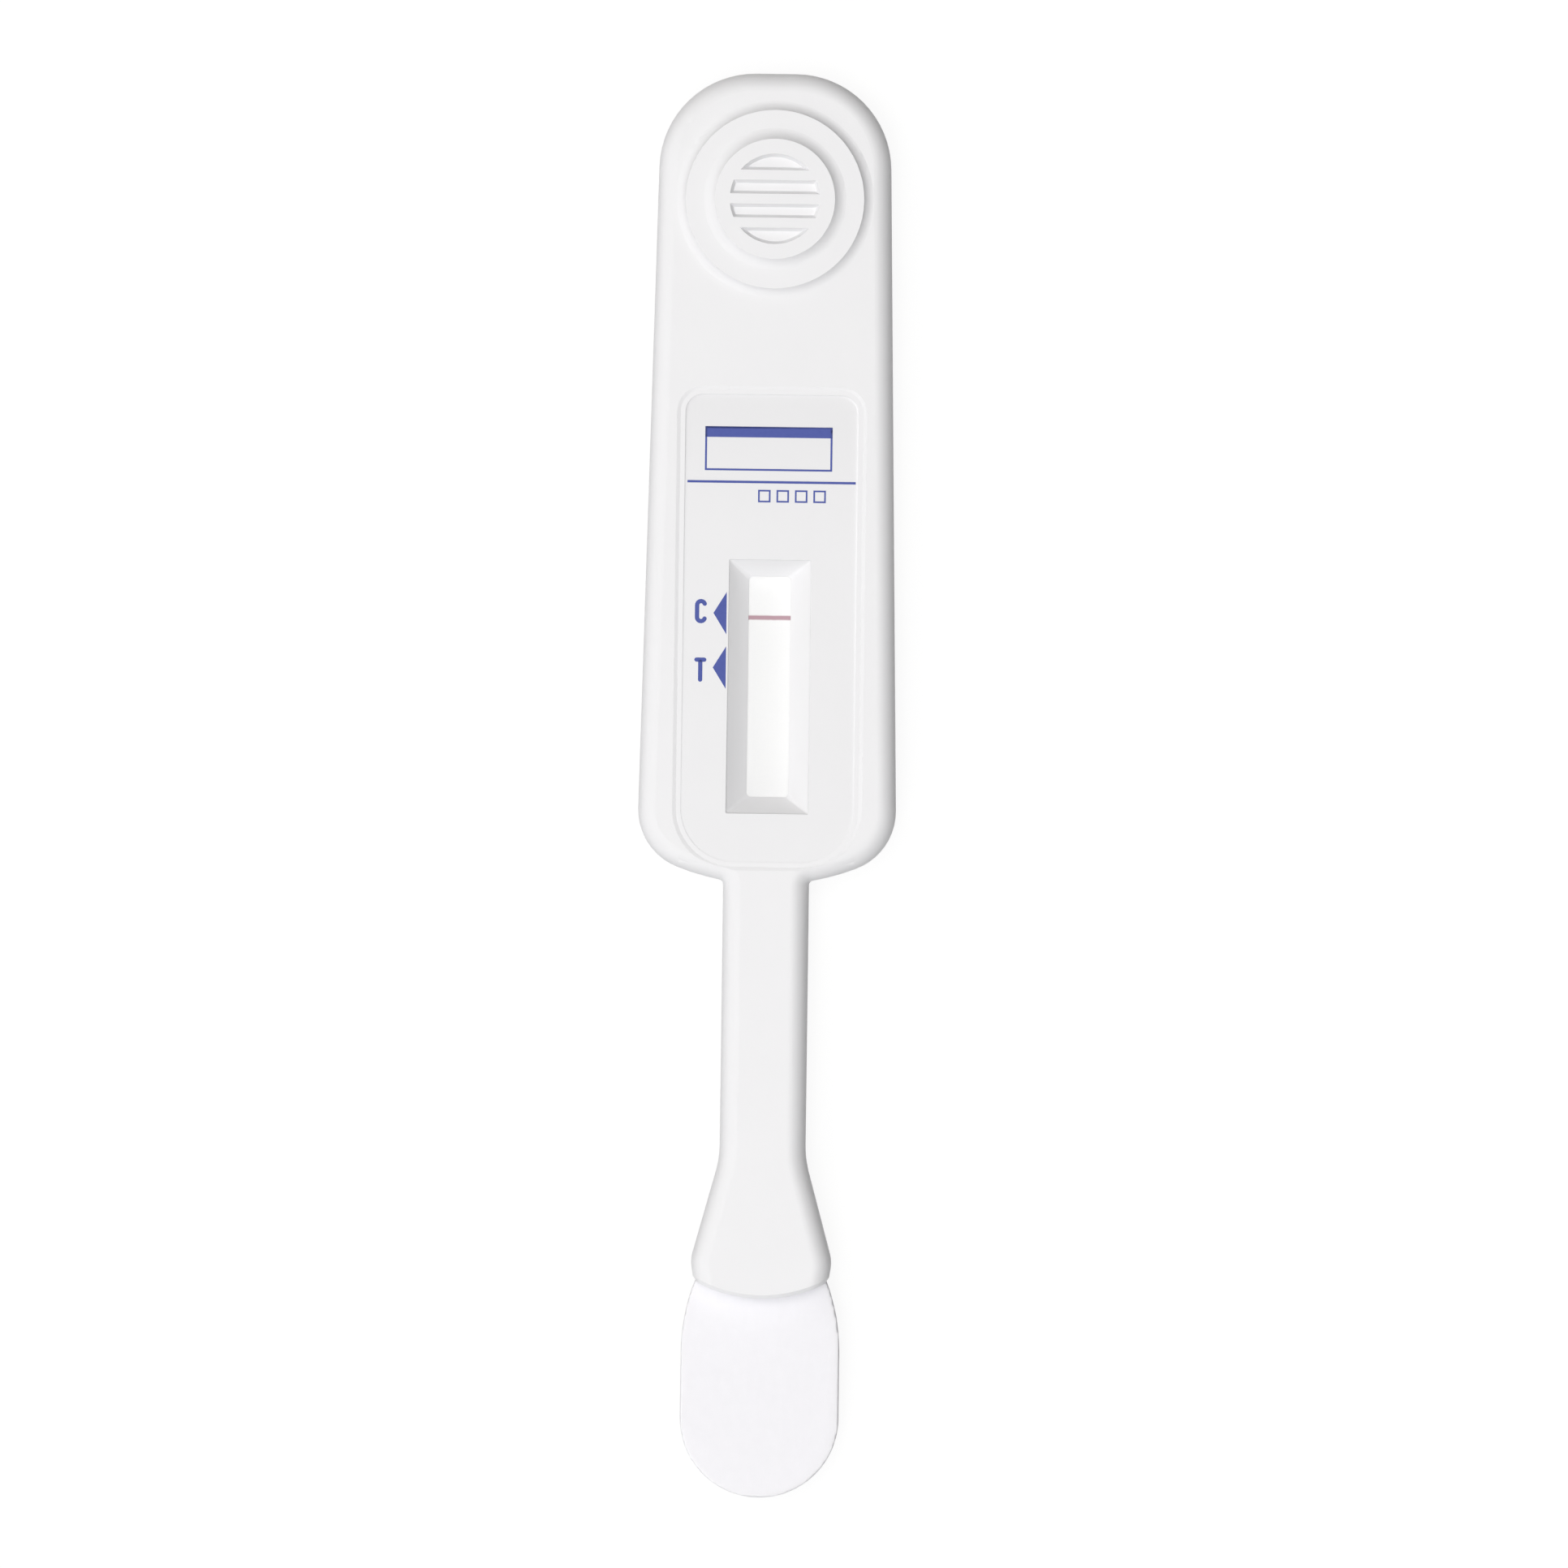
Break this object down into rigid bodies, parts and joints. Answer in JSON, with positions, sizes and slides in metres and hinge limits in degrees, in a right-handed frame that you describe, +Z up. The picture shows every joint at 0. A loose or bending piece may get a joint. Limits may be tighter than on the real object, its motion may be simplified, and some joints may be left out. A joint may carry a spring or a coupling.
{
  "type": "lateral flow cassette",
  "caption": "Oral-fluid test stick: moulded casing with stepped thumb grip, bevelled result window over a membrane strip, stem, flared collar and flat collection pad.",
  "frame": {"origin": "under the middle of the stick's length, at the level of its flat back", "axes": "+Y towards the thumb grip, -Y towards the collection pad, +Z up out of the printed face"},
  "size_m": [0.0218, 0.12, 0.0065],
  "materials": {
    "shell_front": "satin white polystyrene, with blue marks printed on the panel",
    "shell_rear": "satin white polystyrene",
    "pad": "matte pressed cellulose",
    "blocker": "matte fibre",
    "conjugate": "matte glass fibre with dried pink reagent",
    "membrane": "smooth matte nitrocellulose with a pink line",
    "wick": "matte cotton fibre",
    "card": "plain white film"
  },
  "bodies": {
    "root": {"front_shell": "shell_front", "rear_shell": "shell_rear", "collection_pad": "pad", "blocker_pad": "blocker", "conjugate_pad": "conjugate", "reaction_membrane": "membrane", "absorbent_pad": "wick", "backing_card": "card"}
  },
  "joints": []
}
